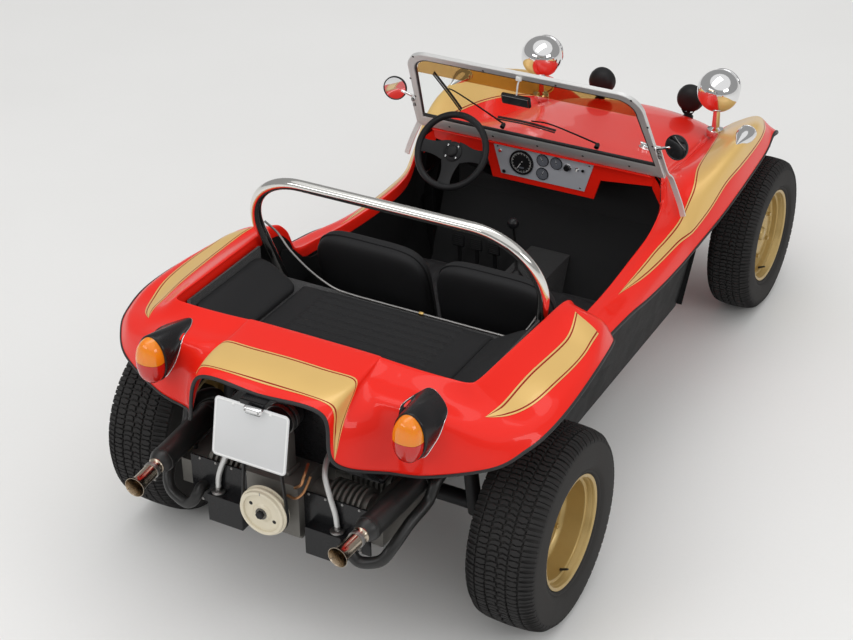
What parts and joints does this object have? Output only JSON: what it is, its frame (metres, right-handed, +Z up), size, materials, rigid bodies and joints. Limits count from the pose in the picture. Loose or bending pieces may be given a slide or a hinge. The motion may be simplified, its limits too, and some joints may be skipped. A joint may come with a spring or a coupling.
{
  "type": "dune buggy",
  "caption": "Open two-seat dune buggy with a moulded red body, gold stripes, roll bar, folding-bow top frame, bare rear engine and gold wheels on wide block-tread tyres.",
  "frame": {"origin": "on the ground under the middle of the vehicle's length and width", "axes": "+Z up, -Y forward, +X to the vehicle's left"},
  "size_m": [1.718, 3.669, 1.4051],
  "materials": {
    "body_red": "gloss",
    "tub_black": "satin",
    "carpet": "matte",
    "alloy": "satin",
    "bright": "polished",
    "screen_glass": "clear",
    "black_trim": "matte",
    "lens": "gloss",
    "plate": "matte",
    "vinyl": "matte",
    "casting": "rough",
    "tinware": "gloss",
    "pulley": "gloss",
    "running_gear": "satin",
    "tyre": "matte",
    "wheel_gold": "metallic"
  },
  "bodies": {
    "chassis": {"body_shell": "body_red", "floor_pan": "tub_black", "tub_sides": "tub_black", "toe_board": "carpet", "rear_bulkhead": "tub_black", "rear_deck": "tub_black", "dash": "body_red", "instrument_panel": "alloy", "gauges": "black_trim", "windscreen_frame": "alloy", "windscreen_glass": "screen_glass", "interior_mirror": "black_trim", "side_mirrors": "bright", "wipers": "black_trim", "headlamps": "bright", "aux_lamps": "black_trim", "front_indicators": "bright", "tail_lamp_pods": "black_trim", "tail_lamp_lenses": "lens", "number_plate": "plate", "roll_bar": "bright", "top_bow": "bright", "seat_left": "vinyl", "seat_right": "vinyl", "deck_pad": "vinyl", "side_pads": "vinyl", "steering_column": "black_trim", "gear_lever": "black_trim", "handbrake": "black_trim", "pedals": "black_trim", "engine_case": "casting", "engine_tin": "tinware", "fan_shroud": "tinware", "generator": "tinware", "crank_pulley": "pulley", "exhaust_left": "tinware", "exhaust_right": "tinware", "gearbox": "casting", "rear_axle": "running_gear", "front_beam": "running_gear", "fan_belt": "black_trim", "exhaust_pipes": "tinware", "plate_lamp": "bright"},
    "steering_wheel": {"steering_wheel": "black_trim"},
    "knuckle_left": {"knuckle_left": "running_gear"},
    "wheel_front_left": {"tyre_front_left": "tyre", "rim_front_left": "wheel_gold"},
    "wheel_rear_left": {"tyre_rear_left": "tyre", "rim_rear_left": "wheel_gold"},
    "knuckle_right": {"knuckle_right": "running_gear"},
    "wheel_front_right": {"tyre_front_right": "tyre", "rim_front_right": "wheel_gold"},
    "wheel_rear_right": {"tyre_rear_right": "tyre", "rim_rear_right": "wheel_gold"}
  },
  "joints": [
    {"name": "steer_left", "type": "hinge", "parent": "chassis", "child": "knuckle_left", "pos_m": [0.5625, -1.335, 0.343], "axis": [0, 0, 1], "range_deg": [-28, 28]},
    {"name": "steer_right", "type": "hinge", "parent": "chassis", "child": "knuckle_right", "pos_m": [-0.5625, -1.335, 0.343], "axis": [0, 0, 1], "range_deg": [-28, 28]},
    {"name": "steering_wheel_turn", "type": "hinge", "parent": "chassis", "child": "steering_wheel", "pos_m": [0.306, -0.235, 0.992], "axis": [0, 0.829, 0.5592], "range_deg": [-392, 392]},
    {"name": "spin_front_left", "type": "hinge", "parent": "knuckle_left", "child": "wheel_front_left", "pos_m": [0.6375, -1.335, 0.343], "axis": [1, 0, 0], "continuous": true},
    {"name": "spin_rear_left", "type": "hinge", "parent": "chassis", "child": "wheel_rear_left", "pos_m": [0.7315, 1.065, 0.363], "axis": [1, 0, 0], "continuous": true},
    {"name": "spin_front_right", "type": "hinge", "parent": "knuckle_right", "child": "wheel_front_right", "pos_m": [-0.6375, -1.335, 0.343], "axis": [1, 0, 0], "continuous": true},
    {"name": "spin_rear_right", "type": "hinge", "parent": "chassis", "child": "wheel_rear_right", "pos_m": [-0.7315, 1.065, 0.363], "axis": [1, 0, 0], "continuous": true}
  ],
  "couplings": [
    {"joint": "steer_right", "follows": "steer_left", "ratio": 1},
    {"joint": "steering_wheel_turn", "follows": "steer_left", "ratio": 14}
  ]
}
